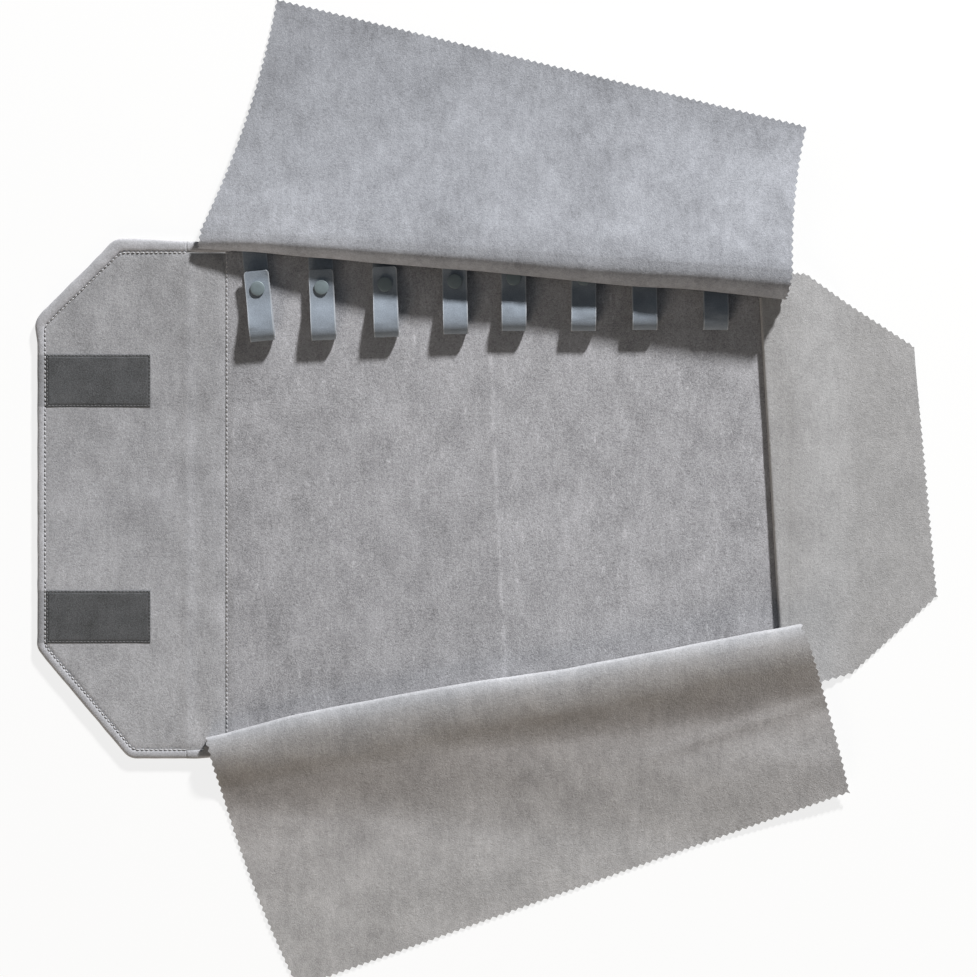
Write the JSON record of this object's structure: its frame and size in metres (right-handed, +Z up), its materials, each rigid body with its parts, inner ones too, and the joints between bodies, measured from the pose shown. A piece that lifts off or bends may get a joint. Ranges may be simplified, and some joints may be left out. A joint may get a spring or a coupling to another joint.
{
  "type": "jewelry roll",
  "caption": "Soft microsuede jewelry roll laid open: padded panel, snap straps for chains, three flaps that fold over them and an end flap closed by hook strips.",
  "frame": {"origin": "middle of the padded panel's underside, on the surface it lies on", "axes": "+X towards the side flap, away from the end flap; +Y towards the edge that holds the straps; +Z up out of the open roll"},
  "size_m": [0.6601, 0.7254, 0.0267],
  "materials": {
    "suede": "short brushed nap, silver grey",
    "lining_suede": "short brushed nap with lighter strokes",
    "side_suede": "fine woven back of the microsuede, warm grey",
    "strap_suede": "smooth nap, blue grey",
    "foam": "thin foam interlining, hidden",
    "hook_tape": "woven hook fastener tape, dark grey",
    "loop_tape": "brushed loop fastener tape",
    "snap_enamel": "satin grey enamel",
    "snap_metal": "bright nickel plate"
  },
  "bodies": {
    "panel": {"outer_cover": "suede", "panel_padding": "foam", "panel_lining": "lining_suede", "spine_lining": "suede", "loop_strip_upper": "loop_tape", "loop_strip_lower": "loop_tape", "top_flap_fold": "suede", "bottom_flap_fold": "suede", "side_flap_fold": "side_suede", "strap_1_base": "strap_suede", "strap_2_base": "strap_suede", "strap_3_base": "strap_suede", "strap_4_base": "strap_suede", "strap_5_base": "strap_suede", "strap_6_base": "strap_suede", "strap_7_base": "strap_suede", "strap_8_base": "strap_suede", "snap_1_stud": "snap_metal", "snap_2_stud": "snap_metal", "snap_3_stud": "snap_metal", "snap_4_stud": "snap_metal", "snap_5_stud": "snap_metal", "snap_6_stud": "snap_metal", "snap_7_stud": "snap_metal", "snap_8_stud": "snap_metal"},
    "end_flap": {"end_flap_cover": "suede", "end_flap_padding": "foam", "end_flap_lining": "suede", "end_flap_hem": "suede", "hook_strip_upper": "hook_tape", "hook_strip_lower": "hook_tape"},
    "top_flap": {"top_flap": "suede"},
    "bottom_flap": {"bottom_flap": "suede"},
    "side_flap": {"side_flap": "side_suede"},
    "strap_1": {"strap_1_front": "strap_suede", "snap_1_cap": "snap_enamel"},
    "strap_2": {"strap_2_front": "strap_suede", "snap_2_cap": "snap_enamel"},
    "strap_3": {"strap_3_front": "strap_suede", "snap_3_cap": "snap_enamel"},
    "strap_4": {"strap_4_front": "strap_suede", "snap_4_cap": "snap_enamel"},
    "strap_5": {"strap_5_front": "strap_suede", "snap_5_cap": "snap_enamel"},
    "strap_6": {"strap_6_front": "strap_suede", "snap_6_cap": "snap_enamel"},
    "strap_7": {"strap_7_front": "strap_suede", "snap_7_cap": "snap_enamel"},
    "strap_8": {"strap_8_front": "strap_suede", "snap_8_cap": "snap_enamel"}
  },
  "joints": [
    {"name": "end_flap_crease", "type": "hinge", "parent": "panel", "child": "end_flap", "pos_m": [-0.2348, 0, 0.0045], "axis": [0, -1, 0], "range_deg": [-125, 0]},
    {"name": "top_flap_fold_line", "type": "hinge", "parent": "panel", "child": "top_flap", "pos_m": [-0.01065, 0.1715, 0.01405], "axis": [0.9967, -0.0777, 0.0236], "range_deg": [0, 150], "deforming": ["top_flap_fold"]},
    {"name": "bottom_flap_fold_line", "type": "hinge", "parent": "panel", "child": "bottom_flap", "pos_m": [-0.0022, -0.1354, 0.01125], "axis": [-0.9822, -0.1877, -0.0118], "range_deg": [0, 174], "deforming": ["bottom_flap_fold"]},
    {"name": "side_flap_fold_line", "type": "hinge", "parent": "panel", "child": "side_flap", "pos_m": [0.1942, 0.0316, 0.00685], "axis": [-0.0594, 0.9982, 0], "range_deg": [-150, 0], "deforming": ["side_flap_fold"]},
    {"name": "strap_1_snap_open", "type": "hinge", "parent": "panel", "child": "strap_1", "pos_m": [-0.17814, 0.117, 0.00953], "axis": [0.9949, 0.1011, 0], "range_deg": [0, 170]},
    {"name": "strap_2_snap_open", "type": "hinge", "parent": "panel", "child": "strap_2", "pos_m": [-0.13337, 0.1177, 0.00953], "axis": [0.9987, 0.0506, 0], "range_deg": [0, 170]},
    {"name": "strap_3_snap_open", "type": "hinge", "parent": "panel", "child": "strap_3", "pos_m": [-0.08758, 0.1199, 0.00953], "axis": [0.9994, 0.0349, 0], "range_deg": [0, 170]},
    {"name": "strap_4_snap_open", "type": "hinge", "parent": "panel", "child": "strap_4", "pos_m": [-0.03709, 0.1221, 0.00953], "axis": [0.9998, 0.0209, 0], "range_deg": [0, 170]},
    {"name": "strap_5_snap_open", "type": "hinge", "parent": "panel", "child": "strap_5", "pos_m": [0.0055, 0.1244, 0.00953], "axis": [1, 0.007, 0], "range_deg": [0, 170]},
    {"name": "strap_6_snap_open", "type": "hinge", "parent": "panel", "child": "strap_6", "pos_m": [0.05619, 0.1244, 0.00953], "axis": [0.9999, -0.0105, 0], "range_deg": [0, 170]},
    {"name": "strap_7_snap_open", "type": "hinge", "parent": "panel", "child": "strap_7", "pos_m": [0.10111, 0.1251, 0.00953], "axis": [1, 0.0087, 0], "range_deg": [0, 170]},
    {"name": "strap_8_snap_open", "type": "hinge", "parent": "panel", "child": "strap_8", "pos_m": [0.1529, 0.1251, 0.00953], "axis": [1, -0.007, 0], "range_deg": [0, 170]}
  ]
}
